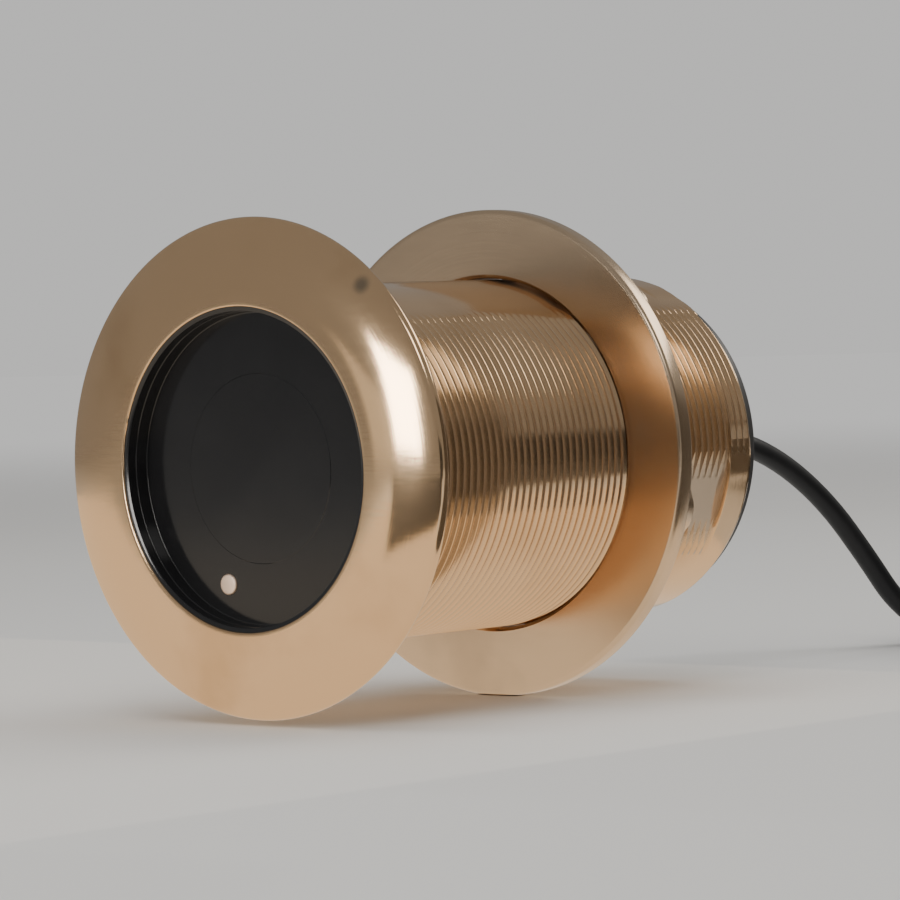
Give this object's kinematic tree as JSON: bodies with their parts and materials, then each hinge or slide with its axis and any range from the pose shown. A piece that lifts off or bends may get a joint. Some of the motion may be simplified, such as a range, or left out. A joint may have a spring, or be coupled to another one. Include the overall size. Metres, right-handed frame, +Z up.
{
  "type": "sonar transducer",
  "caption": "Bronze through-hull sonar transducer: domed flange with a recessed black window, long threaded stem, hex hull nut and a coiled cable with a round plug.",
  "frame": {"origin": "on the stem's axis, in the plane of the flange's back face that seats on the hull", "axes": "+X along the stem from the face to the cable, +Z up as the part lies on the rims of its nut and flange"},
  "size_m": [0.391, 0.2093, 0.1246],
  "materials": {
    "bronze": "turned and burnished bronze",
    "bronze_nut": "satin cast bronze",
    "window_black": "glossy moulded urethane",
    "sensor_bronze": "polished pale bronze",
    "glass_bead": "epoxy bead",
    "tinned_wire": "tinned copper",
    "hard_resin": "filled resin",
    "silver_foil": "silvered foil",
    "ceramic": "fired ceramic",
    "cork": "pressed cork",
    "cup_plastic": "moulded",
    "red_wire": "insulated",
    "black_wire": "insulated",
    "potting": "poured resin",
    "nylon_posts": "moulded",
    "board_green": "coated laminate",
    "ferrite": "sintered",
    "copper_winding": "enamelled copper",
    "resistor_body": "lacquered",
    "capacitor_body": "moulded",
    "cap_black": "satin moulded",
    "cable_jacket": "satin jacket",
    "tie_black": "woven hook band",
    "plug_black": "textured moulded",
    "insert_grey": "moulded",
    "gold_contacts": "plated"
  },
  "bodies": {
    "transducer": {"housing": "bronze", "sound_window": "window_black", "temperature_button": "sensor_bronze", "thermistor_bead": "glass_bead", "thermistor_wires": "tinned_wire", "element_wedge": "hard_resin", "front_electrode": "silver_foil", "ceramic_disc": "ceramic", "rear_electrode": "silver_foil", "cork_backing": "cork", "cork_sleeve": "cork", "element_cup": "cup_plastic", "front_lead": "black_wire", "rear_lead": "red_wire", "front_potting": "potting", "board_posts": "nylon_posts", "circuit_board": "board_green", "transformer_core": "ferrite", "transformer_winding": "copper_winding", "tuning_resistor": "resistor_body", "tuning_capacitor": "capacitor_body", "cable_inner_end": "cable_jacket", "core_wires": "red_wire", "rear_potting": "potting", "end_cap": "cap_black", "strain_relief": "cap_black", "cable": "cable_jacket", "cable_coil": "cable_jacket", "coil_ties": "tie_black", "cable_tail": "cable_jacket", "plug_boot": "cap_black", "plug_shell": "plug_black", "plug_insert": "insert_grey", "plug_contacts": "gold_contacts"},
    "hull_nut": {"hull_nut": "bronze_nut"},
    "coupling_ring": {"coupling_ring": "plug_black"}
  },
  "joints": [
    {"name": "hull_nut_travel", "type": "slide", "parent": "transducer", "child": "hull_nut", "axis": [1, 0, 0], "range_m": [-0.084, 0.039]},
    {"name": "coupling_ring_turn", "type": "hinge", "parent": "transducer", "child": "coupling_ring", "pos_m": [0.322, -0.131, -0.0138], "axis": [-1, 0, 0], "continuous": true}
  ]
}
